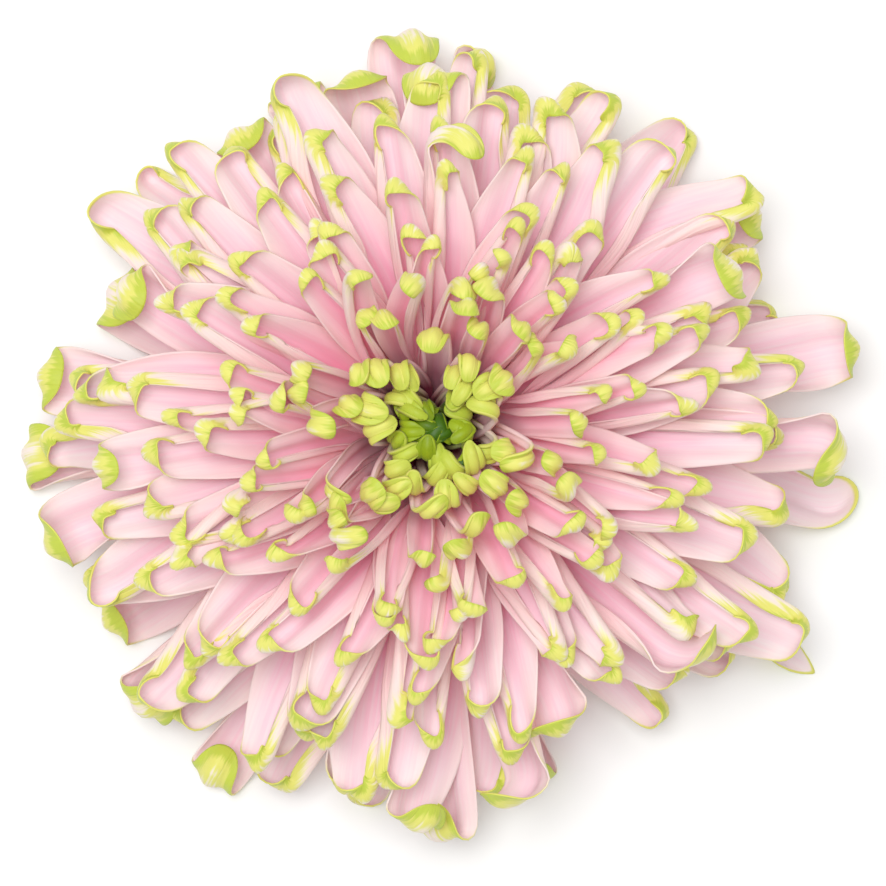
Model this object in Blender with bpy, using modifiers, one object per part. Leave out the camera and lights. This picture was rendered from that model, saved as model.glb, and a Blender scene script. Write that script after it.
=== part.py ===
"""A pompon chrysanthemum bloom, cut just below its head and lying face up.

The bloom is a dome of ray florets set in one spiral. The youngest stand at the centre, small, green
and curled over. The older ones are longer, wider and pink, lean further out, and end in a green hook.
The oldest lean down until they touch the surface that the bloom lies on, together with the cut end of
its stem. +Z is the bloom's axis, the origin is the middle of the cut end, and lengths are in metres.
"""

import math
import random

import bmesh
import bpy
from mathutils import Matrix, Vector

MM = 0.001
SEED = 11

# Colours as linear red, green and blue
PINK = (0.84, 0.42, 0.52)
LIME = (0.52, 0.70, 0.08)
GREEN = (0.16, 0.33, 0.06)
STEM_GREEN = (0.22, 0.40, 0.10)
PETAL_ROUGHNESS = 0.5
LEAF_ROUGHNESS = 0.6

# Edges that turn by less than this many degrees are shaded smooth
PETAL_SMOOTHING = 50
LEAF_SMOOTHING = 40

# The spiral: floret 0 is the newest, at the centre, and the last is the oldest, at the rim
FLORETS = 280
CENTRE_FLORETS = 58
GOLDEN_ANGLE = math.pi * (3 - math.sqrt(5))
LEAN_STEP = math.radians(0.245)
LEAN_GROWTH = math.radians(0.00027)

# The dome that the florets' bends lie on, and the low receptacle that they grow from
BLOOM_RADIUS = 49.6 * MM
RIM_HEIGHT = 1.2 * MM
DOME_HEIGHT = 42.5 * MM
CENTRE_DIP = 9.0 * MM
CENTRE_DIP_LEAN = math.radians(14)
RECEPTACLE_RADIUS = 8.5 * MM
RECEPTACLE_HEIGHT = 14.0 * MM
RECEPTACLE_RISE = 4.0 * MM
RESTING_FLORETS = 13

# The gap that parts the pink florets from the green centre, at their roots and at their bends
ROOT_PARTING = 2.2 * MM
BEND_PARTING = 1.5 * MM
PARTING_END = math.radians(40)

# A floret's flat width, the length of its hook and the way its point ends up facing, at each of
# these leans in degrees. A point at 90 degrees faces up, and at 180 it faces the bloom's axis.
FORM_LEANS = (0, 8, 15, 25, 40, 60, 90)
FLAT_WIDTHS = [width * MM for width in (2.2, 3.2, 4.2, 6.2, 8.6, 10.2, 10.8)]
HOOK_LENGTHS = [length * MM for length in (3.0, 4.0, 5.2, 6.8, 8.0, 8.8, 9.2)]
END_HEADINGS = (200, 198, 188, 164, 138, 120, 112)

# How each floret strays from that form: in place, in size, and in its bends and curls in degrees
BEARING_STRAY = 0.06
REACH_STRAY = (-0.05, 0.04)
HEIGHT_STRAY = 1.0
ARCH_STRAY = 3
HOOK_STRAY = (0.8, 1.2)
HEADING_STRAY = 20
SWAY_STRAY = 6
WIDTH_STRAY = (0.85, 1.12)
EDGE_CURLS = (50, 85)
TIP_CURLS = (85, 125)

# The arch of a blade and the twist of a floret in degrees, at the centre and added towards the rim
CENTRE_ARCH = -5
ADDED_ARCH = 16
CENTRE_TWIST = 26
ADDED_TWIST = -8

# The blade: its thickness, its narrow claw's share of the flat width, where it is widest along the
# floret, and how the two ends of the curve between them ease
BLADE_THICKNESS = 0.8 * MM
CLAW_SHARE = 0.34
WIDEST_SHARE = 0.68
CLAW_EASE = 1.4
TIP_START = 0.18
TIP_EASE = 1.7
TIP_BLUNTNESS = 0.8

# The blade's edges curl up most at the edge, and more towards the tip
CURL_EASE = 1.8
TIP_CURL_START = 0.25
TIP_CURL_END = 0.05
HOOK_EASE = 1.5

SPINE_STEPS = 60
EDGE_STEPS = 6
FITTING_ROUNDS = 4

# The rim: each outermost floret's bearing in degrees from +X, how far it reaches in mm, and the way
# its point faces in degrees, where 0 is outward, 90 up and 180 back towards the axis
RIM = (
    (11, 56.6, 95), (24, 49.0, 170), (35, 51.9, 120), (50, 53.2, 165), (64, 50.6, 125),
    (80, 51.9, 140), (92, 52.4, 130), (112, 50.0, 140), (123, 47.5, 120), (134, 52.7, 115),
    (147, 53.2, 60), (159, 47.5, 130), (171, 53.3, 130), (185, 54.8, 150), (197, 51.7, 165),
    (208, 50.8, 110), (221, 54.5, 135), (236, 56.7, 160), (250, 52.6, 150), (258, 52.6, 115),
    (269, 55.1, 150), (287, 49.8, 120), (305, 49.5, 95), (329, 58.2, 35), (336, 51.5, 160),
    (356, 54.6, 50),
)

# The bays between them, as bearing and reach, which the florets above the rim keep back to
BAYS = (
    (18, 48.6), (41, 47.8), (58, 48.3), (71, 47.7), (101, 45.3), (118, 46.8), (140, 48.0), (164, 46.1),
    (190, 50.5), (202, 49.4), (227, 48.5), (242, 46.9), (263, 49.0), (280, 48.5), (295, 42.6), (312, 45.0),
    (345, 51.0),
)
BAY_START = math.radians(45)
BAY_END = math.radians(78)
MEAN_REACH = sum(reach for bearing, reach, heading in RIM) / len(RIM)

# The shares of a floret's length where its blade has a section, from its root to its blunt point.
# Most start inside the core. The outer ones, whose claws show from below, start at the receptacle.
RAY_SECTIONS = (0.42, 0.78, 0.89, 0.975)
OUTER_SECTIONS = (0.0,) + RAY_SECTIONS
OUTER_LEAN = math.radians(72)
CENTRE_ROOTS = 28.3 * MM
CENTRE_SECTIONS = (0.86, 0.97)

# The mass that the florets stand out of, as (radius, height) in mm from the underside to the top
RAY_CORE = (
    (9.5, 12.7), (14, 14.3), (24, 15.7), (34, 18.5), (34, 22.0), (29.5, 26.6), (20, 29.6), (12, 28.6),
    (9.6, 27.6),
)
CENTRE_CORE = ((7.9, 27.9), (8.4, 29.2), (7.6, 31.4), (5.2, 32.6), (2.6, 32.4))
CORE_SIDES = 20

# The green cup under the florets, as (radius, height) in mm from the underside to the top, and the
# rows of bracts on it: each row's root radius and height, and its bend's radius and height, in mm
CUP = ((3.2, 6.6), (7.0, 7.4), (10.4, 9.2), (11.2, 11.0), (9.0, 12.4))
CUP_SIDES = 22
BRACT_ROWS = ((3.4, 7.0, 7.2, 7.6), (5.6, 7.4, 9.6, 9.0), (8.2, 8.6, 11.3, 10.5))
BRACTS_PER_ROW = 11
BRACT_SECTIONS = (0.0, 0.7, 0.95)
BRACT_WIDTH = 5.4 * MM
BRACT_TIP = 1.8 * MM
BRACT_ARCH = math.radians(-8)
BRACT_TIP_HEADING = math.radians(70)
BRACT_CURL = math.radians(25)

# The stub of the stem
STEM_RADIUS = 2.9 * MM
STEM_HEIGHT = 6.3 * MM
STEM_SIDES = 12


def between(value, start, end):
    """How far value is from start to end, from 0 to 1."""
    return min(1.0, max(0.0, (value - start) / (end - start)))


def at_lean(values, lean):
    """The value at this lean, read between the values at FORM_LEANS."""
    degrees = math.degrees(lean)
    for low, high, first, second in zip(FORM_LEANS, FORM_LEANS[1:], values, values[1:]):
        if degrees <= high:
            return first + (second - first) * between(degrees, low, high)
    return values[-1]


def floret_form(index, chance):
    """The place, sizes and bends of one floret."""
    lean = LEAN_STEP * index + LEAN_GROWTH * index * index
    outward = lean / (math.pi / 2)
    reach = BLOOM_RADIUS * math.sin(lean)
    dip = CENTRE_DIP * math.exp(-((lean / CENTRE_DIP_LEAN) ** 2))
    height = RIM_HEIGHT + DOME_HEIGHT * math.cos(lean) - dip
    parted = 0.0
    if index >= CENTRE_FLORETS:
        parted = between(lean, PARTING_END, LEAN_STEP * CENTRE_FLORETS)
    return {
        "lean": lean,
        "azimuth": index * GOLDEN_ANGLE + chance.uniform(-BEARING_STRAY, BEARING_STRAY),
        "root_r": RECEPTACLE_RADIUS * math.sin(lean) + parted * ROOT_PARTING,
        "root_z": RECEPTACLE_HEIGHT + RECEPTACLE_RISE * math.cos(lean),
        "bend_r": reach * (1 + chance.uniform(*REACH_STRAY)) + parted * BEND_PARTING,
        "bend_z": height + chance.uniform(-HEIGHT_STRAY, HEIGHT_STRAY) * MM,
        "arch": math.radians(CENTRE_ARCH + ADDED_ARCH * outward + chance.uniform(-ARCH_STRAY, ARCH_STRAY)),
        "hook": at_lean(HOOK_LENGTHS, lean) * chance.uniform(*HOOK_STRAY),
        "end_heading": math.radians(at_lean(END_HEADINGS, lean) + chance.gauss(0, HEADING_STRAY)),
        "roll": math.radians(chance.gauss(0, 1) * (CENTRE_TWIST + ADDED_TWIST * outward)),
        "sway": math.radians(chance.gauss(0, SWAY_STRAY)),
        "width": at_lean(FLAT_WIDTHS, lean) * chance.uniform(*WIDTH_STRAY),
        "edge_curl": math.radians(chance.uniform(*EDGE_CURLS)),
        "tip_curl": math.radians(chance.uniform(*TIP_CURLS)),
    }


def spine(form):
    """Frames along a floret: the share of its length, a point, and the ways along, up and across it.

    The blade is an arc that rises and droops again by the arch, and the hook turns inward past it,
    tightest where it starts. The second value is the share of the length where the hook starts.
    """
    chord_r = form["bend_r"] - form["root_r"]
    chord_z = form["bend_z"] - form["root_z"]
    climb = math.atan2(chord_z, chord_r)
    arch = form["arch"]
    blade = math.hypot(chord_r, chord_z) * arch / math.sin(arch)
    length = blade + form["hook"]
    step = length / SPINE_STEPS
    heading = climb + arch
    hook_turn = form["end_heading"] - (climb - arch)
    point = Vector((form["root_r"], 0, form["root_z"]))
    forward = Vector((math.cos(heading), 0, math.sin(heading)))
    up = Vector((-math.sin(heading), 0, math.cos(heading)))
    frames = []
    for i in range(SPINE_STEPS + 1):
        side = up.cross(forward)
        frames.append((i / SPINE_STEPS, point, forward, up, side))
        travelled = (i + 0.5) * step
        if travelled < blade:
            pitch = -2 * arch * step / blade
            roll = form["roll"] * step / blade
            sway = form["sway"] * step / blade
        else:
            hooked = (travelled - blade) / form["hook"]
            pitch = HOOK_EASE * (1 - hooked * hooked) * hook_turn * step / form["hook"]
            roll = 0.0
            sway = 0.0
        turn = Matrix.Rotation(-pitch, 3, side) @ Matrix.Rotation(sway, 3, up)
        turn = turn @ Matrix.Rotation(roll, 3, forward)
        point = point + forward * step
        forward = (turn @ forward).normalized()
        up = (turn @ up).normalized()
    return frames, blade / length


def flat_half_width(form, share, hook_start):
    """Half the blade's flat width: a narrow claw, a broad blade and a tip that closes to a blunt point."""
    growth = math.sin(math.pi / 2 * between(share, 0, WIDEST_SHARE)) ** CLAW_EASE
    grown = CLAW_SHARE + (1 - CLAW_SHARE) * growth
    closing = between(share, hook_start - TIP_START, 1)
    return form["width"] / 2 * grown * (1 - closing ** TIP_EASE) ** TIP_BLUNTNESS


def section_curve(form, share, hook_start, steps):
    """Points (across, rise) from the blade's middle to its edge, flat at first and then curled up."""
    step = flat_half_width(form, share, hook_start) / steps
    tipward = between(share, hook_start - TIP_CURL_START, hook_start + TIP_CURL_END)
    edge_curl = form["edge_curl"] + (form["tip_curl"] - form["edge_curl"]) * tipward
    points = [(0.0, 0.0)]
    for i in range(steps):
        slope = edge_curl * ((i + 0.5) / steps) ** CURL_EASE
        across, rise = points[-1]
        points.append((across + step * math.cos(slope), rise + step * math.sin(slope)))
    return points


def blade_section(frame, form, hook_start):
    """Left edge, upper middle, right edge and lower middle of the channelled blade."""
    share, point, forward, up, side = frame
    across, rise = section_curve(form, share, hook_start, EDGE_STEPS)[-1]
    edge = point + up * rise
    return [edge - side * across, point, edge + side * across, point - up * BLADE_THICKNESS]


def lowest(form):
    """The height of the lowest corner of a ray floret's blade."""
    frames, hook_start = spine(form)
    sections = [frames[round(share * SPINE_STEPS)] for share in RAY_SECTIONS]
    return min(corner.z for frame in sections for corner in blade_section(frame, form, hook_start))


def share_at_height(form, height):
    """The share of a floret's length at which it has climbed to this height."""
    frames, hook_start = spine(form)
    return next(share for share, point, forward, up, side in frames if point.z >= height)


def rim_reach(azimuth):
    """How far the bloom reaches at this azimuth, read between the rim's florets and bays."""
    marks = sorted([(bearing, reach) for bearing, reach, heading in RIM] + list(BAYS))
    marks = [(marks[-1][0] - 360, marks[-1][1])] + marks + [(marks[0][0] + 360, marks[0][1])]
    bearing = math.degrees(azimuth) % 360
    for (start, first), (end, second) in zip(marks, marks[1:]):
        if bearing <= end:
            return first + (second - first) * between(bearing, start, end)
    return marks[-1][1]


def floret_forms():
    """The forms of all florets from the centre out, with the oldest drooping onto the surface."""
    chance = random.Random(SEED)
    forms = [floret_form(index, chance) for index in range(FLORETS)]
    for form in forms[:-len(RIM)]:
        kept_back = rim_reach(form["azimuth"]) / MEAN_REACH - 1
        form["bend_r"] *= 1 + kept_back * between(form["lean"], BAY_START, BAY_END)
    rim_forms = sorted(forms[-len(RIM):], key=lambda form: form["azimuth"] % math.tau)
    for form, (bearing, reach, heading) in zip(rim_forms, RIM):
        form["azimuth"] = math.radians(bearing)
        form["end_heading"] = math.radians(heading)
        for _ in range(FITTING_ROUNDS):
            form["bend_r"] += reach * MM - max(point.x for share, point, *ways in spine(form)[0])
    for form in forms[-RESTING_FLORETS:]:
        for _ in range(FITTING_ROUNDS):
            form["bend_z"] -= lowest(form)
    return forms


def floret(name, form, shares):
    """One floret as a closed loft of four-point sections, with the same split on both its faces."""
    frames, hook_start = spine(form)
    turn = Matrix.Rotation(form["azimuth"], 3, "Z")
    shape = bmesh.new()
    rings = []
    for share in shares:
        corners = blade_section(frames[round(share * SPINE_STEPS)], form, hook_start)
        rings.append([shape.verts.new(turn @ corner) for corner in corners])
    shape.faces.new(rings[0])
    shape.faces.new(rings[-1])
    for ring, following in zip(rings, rings[1:]):
        for edge, middle in ((0, 1), (0, 3), (2, 1), (2, 3)):
            shape.faces.new((ring[edge], ring[middle], following[middle]))
            shape.faces.new((ring[edge], following[middle], following[edge]))
    bmesh.ops.recalc_face_normals(shape, faces=shape.faces)
    mesh = bpy.data.meshes.new(name)
    shape.to_mesh(mesh)
    shape.free()
    return bpy.data.objects.new(name, mesh)


def turned(name, profile, sides):
    """A solid of revolution: a profile from its underside to its top, closed on the axis by a screw."""
    points = [(0, profile[0][1])] + list(profile) + [(0, profile[-1][1])]
    shape = bmesh.new()
    corners = [shape.verts.new((radius * MM, 0, height * MM)) for radius, height in reversed(points)]
    for start, end in zip(corners, corners[1:]):
        shape.edges.new((start, end))
    mesh = bpy.data.meshes.new(name)
    shape.to_mesh(mesh)
    shape.free()
    turned_object = bpy.data.objects.new(name, mesh)
    turn = turned_object.modifiers.new("turn", "SCREW")
    turn.steps = sides
    turn.render_steps = sides
    turn.use_merge_vertices = True
    turn.merge_threshold = 0.01 * MM
    return turned_object


def keep_largest_body(shape):
    """Drop every loose scrap and sealed hollow, so that one closed body is left."""
    unseen = set(shape.faces)
    bodies = []
    while unseen:
        reached = [unseen.pop()]
        body = []
        while reached:
            face = reached.pop()
            body.append(face)
            for edge in face.edges:
                beside = [other for other in edge.link_faces if other in unseen]
                unseen.difference_update(beside)
                reached += beside
        bodies.append(body)
    bodies.sort(key=len)
    for body in bodies[:-1]:
        bmesh.ops.delete(shape, geom=body, context="FACES")


def fuse(base, repeats, collection):
    """Join the repeats to what they grow from in one Boolean union, applied, and remove them."""
    name = base.name
    gathered = bpy.data.collections.new(name + "_repeats")
    bpy.context.scene.collection.children.link(gathered)
    for repeat in repeats:
        gathered.objects.link(repeat)
    collection.objects.link(base)
    join = base.modifiers.new("join", "BOOLEAN")
    join.operation = "UNION"
    join.solver = "MANIFOLD"
    join.operand_type = "COLLECTION"
    join.collection = gathered
    evaluated = base.evaluated_get(bpy.context.evaluated_depsgraph_get())
    shape = bmesh.new()
    shape.from_mesh(bpy.data.meshes.new_from_object(evaluated))
    bmesh.ops.triangulate(shape, faces=shape.faces)
    keep_largest_body(shape)
    fused = bpy.data.meshes.new(name)
    shape.to_mesh(fused)
    shape.free()
    base.modifiers.clear()
    base.data = fused
    for repeat in list(gathered.objects):
        bpy.data.objects.remove(repeat)
    bpy.data.collections.remove(gathered)
    return base


def finish(piece, material, smooth_angle):
    """Shade a piece smooth up to an angle in degrees and give it its material."""
    piece.data.materials.clear()
    piece.data.materials.append(material)
    piece.data.shade_smooth()
    piece.data.set_sharp_from_angle(angle=math.radians(smooth_angle))


def living_material(name, colour, roughness):
    """A plant surface: a Principled material with this colour and roughness, and no metal."""
    material = bpy.data.materials.new(name)
    material.use_nodes = True
    shader = material.node_tree.nodes["Principled BSDF"]
    shader.inputs["Base Color"].default_value = (*colour, 1)
    shader.inputs["Roughness"].default_value = roughness
    shader.inputs["Metallic"].default_value = 0
    return material


def make_ray_petals(forms):
    """The pink florets, sunk in the pink mass that they stand out of."""
    petals = []
    for index in range(CENTRE_FLORETS, FLORETS):
        outer = forms[index]["lean"] > OUTER_LEAN
        petals.append(floret(f"ray_{index}", forms[index], OUTER_SECTIONS if outer else RAY_SECTIONS))
    return fuse(turned("ray_petals", RAY_CORE, CORE_SIDES), petals, bloom)


def make_centre_florets(forms):
    """The small green florets of the bloom's eye, sunk in their own green core."""
    fingers = []
    for index in range(CENTRE_FLORETS):
        root = share_at_height(forms[index], CENTRE_ROOTS)
        fingers.append(floret(f"centre_{index}", forms[index], (root,) + CENTRE_SECTIONS))
    return fuse(turned("centre_florets", CENTRE_CORE, CORE_SIDES), fingers, bloom)


def make_involucre():
    """The green cup under the florets, with its bracts lying on each other in rows."""
    bracts = []
    for row, (root_r, root_z, bend_r, bend_z) in enumerate(BRACT_ROWS):
        for number in range(BRACTS_PER_ROW):
            form = {
                "azimuth": math.tau * (number + row / 2) / BRACTS_PER_ROW,
                "root_r": root_r * MM,
                "root_z": root_z * MM,
                "bend_r": bend_r * MM,
                "bend_z": bend_z * MM,
                "arch": BRACT_ARCH,
                "hook": BRACT_TIP,
                "end_heading": BRACT_TIP_HEADING,
                "roll": 0.0,
                "sway": 0.0,
                "width": BRACT_WIDTH,
                "edge_curl": BRACT_CURL,
                "tip_curl": BRACT_CURL,
            }
            bracts.append(floret(f"bract_{row}_{number}", form, BRACT_SECTIONS))
    return fuse(turned("involucre", CUP, CUP_SIDES), bracts, bloom)


def make_stem():
    """The stub of the stem, whose flat cut end is level with the lowest florets."""
    shape = bmesh.new()
    bmesh.ops.create_cone(
        shape,
        cap_ends=True,
        segments=STEM_SIDES,
        radius1=STEM_RADIUS,
        radius2=STEM_RADIUS,
        depth=STEM_HEIGHT,
    )
    mesh = bpy.data.meshes.new("stem")
    shape.to_mesh(mesh)
    shape.free()
    stem = bpy.data.objects.new("stem", mesh)
    stem.location.z = STEM_HEIGHT / 2
    bloom.objects.link(stem)
    return stem


for old_object in list(bpy.data.objects):
    bpy.data.objects.remove(old_object)
bloom = bpy.data.collections.new("pompon_chrysanthemum")
bpy.context.scene.collection.children.link(bloom)

floret_shapes = floret_forms()
pieces = (
    (make_ray_petals(floret_shapes), "pink_petal", PINK, PETAL_ROUGHNESS, PETAL_SMOOTHING),
    (make_centre_florets(floret_shapes), "green_petal", LIME, PETAL_ROUGHNESS, PETAL_SMOOTHING),
    (make_involucre(), "bract", GREEN, LEAF_ROUGHNESS, LEAF_SMOOTHING),
    (make_stem(), "cut_stem", STEM_GREEN, LEAF_ROUGHNESS, LEAF_SMOOTHING),
)
for piece, surface, colour, roughness, smoothing in pieces:
    finish(piece, living_material(surface, colour, roughness), smoothing)
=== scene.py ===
"""A pompon chrysanthemum bloom, dressed for close views: petals, eye, bracts, stem stub and studio.

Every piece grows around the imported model. The florets follow the same spiral and the same bends as its
solids, as thin petals with a pale outer side, a channelled pink inner side and a yellow-green hooked tip.
"""

import math
import random

import bmesh
import bpy
from bpy.props import FloatProperty, FloatVectorProperty, IntProperty, PointerProperty
from mathutils import Matrix, Vector


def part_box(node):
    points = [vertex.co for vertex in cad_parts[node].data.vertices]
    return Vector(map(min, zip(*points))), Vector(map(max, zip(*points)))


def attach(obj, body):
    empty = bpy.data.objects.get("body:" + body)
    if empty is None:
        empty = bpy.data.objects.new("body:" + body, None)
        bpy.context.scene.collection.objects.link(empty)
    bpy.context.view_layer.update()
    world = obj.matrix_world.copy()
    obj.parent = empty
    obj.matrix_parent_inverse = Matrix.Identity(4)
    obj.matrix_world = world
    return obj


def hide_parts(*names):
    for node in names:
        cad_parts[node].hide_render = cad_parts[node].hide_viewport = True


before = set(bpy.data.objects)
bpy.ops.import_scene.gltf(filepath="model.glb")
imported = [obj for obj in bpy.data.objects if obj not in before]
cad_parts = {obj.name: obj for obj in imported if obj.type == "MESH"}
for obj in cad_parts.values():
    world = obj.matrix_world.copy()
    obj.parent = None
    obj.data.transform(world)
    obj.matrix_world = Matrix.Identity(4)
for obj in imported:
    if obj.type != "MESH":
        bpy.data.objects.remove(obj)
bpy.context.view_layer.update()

bl_info = {
    "name": "Pompon Chrysanthemum",
    "version": (1, 0, 0),
    "blender": (4, 5, 0),
    "location": "3D View > Sidebar > Bloom",
    "description": "Builds a cut pompon chrysanthemum bloom with fine petals around its packed model",
    "category": "Add Mesh",
}

MM = 0.001
SEED = 11
DETAIL_SEED = 500

# The spiral: floret 0 is the newest, at the centre, and the last is the oldest, at the rim
FLORETS = 280
CENTRE_FLORETS = 58
GOLDEN_ANGLE = math.pi * (3 - math.sqrt(5))
LEAN_STEP = math.radians(0.245)
LEAN_GROWTH = math.radians(0.00027)

# The dome that the florets' bends lie on, and the low receptacle that they grow from
RIM_HEIGHT = 1.2 * MM
CENTRE_DIP = 9.0 * MM
CENTRE_DIP_LEAN = math.radians(14)
RECEPTACLE_HEIGHT = 14.0 * MM
RECEPTACLE_RISE = 4.0 * MM
RESTING_FLORETS = 13

# The gap that parts the pink florets from the green centre, at their roots and at their bends
ROOT_PARTING = 2.2 * MM
BEND_PARTING = 1.5 * MM
PARTING_END = math.radians(40)

# A floret's flat width, the length of its hook and the way its point ends up facing, at each of
# these leans in degrees. A point at 90 degrees faces up, and at 180 it faces the bloom's axis.
FORM_LEANS = (0, 8, 15, 25, 40, 60, 90)
FLAT_WIDTHS = [width * MM for width in (2.2, 3.2, 4.2, 6.2, 8.6, 10.2, 10.8)]
HOOK_LENGTHS = [length * MM for length in (3.0, 4.0, 5.2, 6.8, 8.0, 8.8, 9.2)]
END_HEADINGS = (200, 198, 188, 164, 138, 120, 112)

# How each floret strays from that form: in place, in size, and in its bends and curls in degrees
BEARING_STRAY = 0.06
REACH_STRAY = (-0.05, 0.04)
HEIGHT_STRAY = 1.0
ARCH_STRAY = 3
HOOK_STRAY = (0.8, 1.2)
HEADING_STRAY = 20
SWAY_STRAY = 6
WIDTH_STRAY = (0.85, 1.12)
EDGE_CURLS = (50, 85)
TIP_CURLS = (85, 125)

# The arch of a blade and the twist of a floret in degrees, at the centre and added towards the rim
CENTRE_ARCH = -5
ADDED_ARCH = 16
CENTRE_TWIST = 26
ADDED_TWIST = -8

# The blade: its narrow claw's share of the flat width, where it is widest along the floret, and how
# the two ends of the curve between them ease
CLAW_SHARE = 0.34
WIDEST_SHARE = 0.68
CLAW_EASE = 1.4
TIP_START = 0.18
TIP_EASE = 1.7
TIP_BLUNTNESS = 0.8

# The blade's edges curl up most at the edge, and more towards the tip
CURL_EASE = 1.8
TIP_CURL_START = 0.25
TIP_CURL_END = 0.05
HOOK_CREASE = 2.0

# The fine petal, at each of FORM_LEANS. Its tip is rounded. One of its edges and its tip roll up and
# over, so that its outer side shows as a ribbon and as a flap, and its other edge stays open.
# How much wider it is than its solid, how much it narrows before its tip, and the tip's length and point
FINE_WIDENING = (1.1, 1.15, 1.1, 1.1, 1.2, 1.25, 1.22)
TAPERS = (0.3, 0.3, 0.15, 0.3, 0.4, 0.32, 0.25)
TIP_LENGTHS = [length * MM for length in (1.6, 2.0, 3.2, 5.4, 7.0, 7.4, 7.4)]
TIP_POINTS = (0.8, 0.7, 0.6, 0.7, 1.0, 1.1, 1.0)
# How far its two edges and its tip roll in degrees, and the width in mm that rolls at each
OVER_ROLLS = (50, 60, 130, 155, 160, 160, 150)
UNDER_ROLLS = (40, 50, 45, 35, 30, 30, 35)
TIP_ROLLS = (0, 0, 35, 105, 150, 158, 168)
OVER_ZONES = (0.5, 0.9, 2.1, 3.5, 4.5, 4.4, 3.6)
UNDER_ZONES = (0.5, 0.8, 1.1, 1.5, 1.9, 2.0, 1.9)
TIP_ZONES = (0.8, 1.0, 1.2, 1.8, 3.4, 4.6, 5.6)
# How flat each edge lies again on its hook, and how far the blade cups across in degrees
OVER_FLATNESS = (1.0, 1.0, 0.3, 0.0, 0.0, 0.0, 0.0)
UNDER_FLATNESS = (1.0, 1.0, 0.7, 0.25, 0.0, 0.0, 0.0)
CUPS = (5, 8, 12, 18, 24, 22, 18)
# How much of its solid's hook, of that hook's turn and of its twist it keeps
FINE_HOOKS = (1.0, 1.0, 0.9, 0.7, 0.7, 0.8, 0.85)
FINE_TURNS = (1.0, 1.0, 0.7, 0.42, 0.3, 0.26, 0.2)
FINE_TWISTS = (0.4, 0.4, 0.6, 1.0, 1.0, 1.0, 1.0)
# How evenly the hook turns: the lower, the sharper its crease
FINE_CREASES = (0.5, 0.5, 0.6, 1.2, 2.0, 2.0, 2.0)

# How many florets fold their whole tip over instead, like a flap, and the form that this gives them
FOLDED_SHARES = (0.0, 0.0, 0.0, 0.0, 0.0, 0.12, 0.6)
FOLDED_WIDTH = 0.82
FOLDED_TIP = {
    "tip_length": 5.0 * MM,
    "tip_point": 0.85,
    "kept_turn": 1.1,
    "crease": 0.5,
    "flatness": (0.8, 0.8),
    "tip_roll": (math.radians(35), 2.4 * MM),
}
# Over these headings a floret's point turns from straight out to hooked back. One that turns less than the
# first share of that runs out to a longer point instead of a rolled tip, and past the second it may fold.
TURNED_HEADINGS = (math.radians(20), math.radians(110))
POINTED_BELOW = 0.3
FOLDED_ABOVE = 0.5
POINTED_LENGTH = 1.6
POINTED_POINT = 1.4
POINTED_TAPER = 0.1

# How the fine petals stray from those values: as factors, and in degrees
TIP_LENGTH_STRAY = (0.85, 1.15)
TIP_POINT_STRAY = (0.85, 1.3)
TAPER_STRAY = (0.6, 1.3)
ZONE_STRAY = (0.85, 1.15)
TIP_ZONE_STRAY = (0.7, 1.15)
ROLL_STRAY = 20
TIP_ROLL_STRAY = (-30, 20)
TIP_SWAY = 20
FINE_SWAY = 11

# The taper's length and ease, the ease of the tip's roll round the tip, the share of a rolled width where
# the roll is whole, and the most of the blade's half width that can roll
TAPER_LENGTH = 12.0 * MM
TAPER_EASE = 1.5
TIP_ROLL_EASE = 1.2
ROLL_END = 0.5
WIDEST_ROLL = 0.75
# The shares of the petal's way over which an edge takes up its roll, lies flat again for the hook and
# rolls ever wider, and the share of its width that rolls at first
ROLL_GROWTH = (0.0, 0.55)
FLAT_GROWTH = (0.6, 0.9)
RIBBON_GROWTH = (0.1, 0.9)
RIBBON_START = 0.3

# The long grooves: how many cross a petal, how they shift across it in radians, where along it they deepen,
# and the petal's width at which they are as deep as the sizes say. Then the waves of its margins: radians
# of them along the petal, how far one margin's run ahead of the other's, and where along it they grow.
GROOVES = (1.6, 2.6)
GROOVE_PHASE = 0.6
GROOVE_GROWTH = (0.12, 0.55)
GROOVED_WIDTH = 10.0 * MM
MARGIN_WAVES = 11
MARGIN_OFFSET = 2.1
WAVE_GROWTH = (0.2, 0.5)

# A petal starts this share of its length from its root, its rows stand closer at its tip and its columns at
# its edges, and it keeps this many thicknesses above the floor
PETAL_START = 0.04
ROW_EASE = 1.3
COLUMN_EASE = 0.8
FLOOR_GAP = 1.2
# The steps in which each column of a rolled line bends, the mm over which the petals are spread in the veins'
# pattern, how near two points are made one, and how far a point moves at each smoothing
COLUMN_PARTS = 4
VEIN_SHIFT = 100
MERGE_DISTANCE = 0.001 * MM
SMOOTHING = 0.5
# What each point of a petal carries for its colour: the share along it, the mm in from its rim, its age
LAYERS = ("along", "inset", "age")

SPINE_STEPS = 60
FINE_STEPS = 120
SMOOTHINGS = 2
EDGE_STEPS = 6
# The hook is fitted until the crest of the rolled tip reaches as far out as the solid: the rounds, the share
# of what is missing that each adds, how far in the crest lies as a share of the rolled width, the shortest
# hook as a share of the tip's length, and the longest as a multiple of the solid's
FITTING_ROUNDS = 4
FITTING_STEP = 0.8
CREST_SHARE = 0.6
SHORTEST_HOOK = 0.4
LONGEST_HOOK = 1.5
SOLID_THICKNESS = 0.8 * MM
SOLID_SECTIONS = (0.42, 0.78, 0.89, 0.975)

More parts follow.
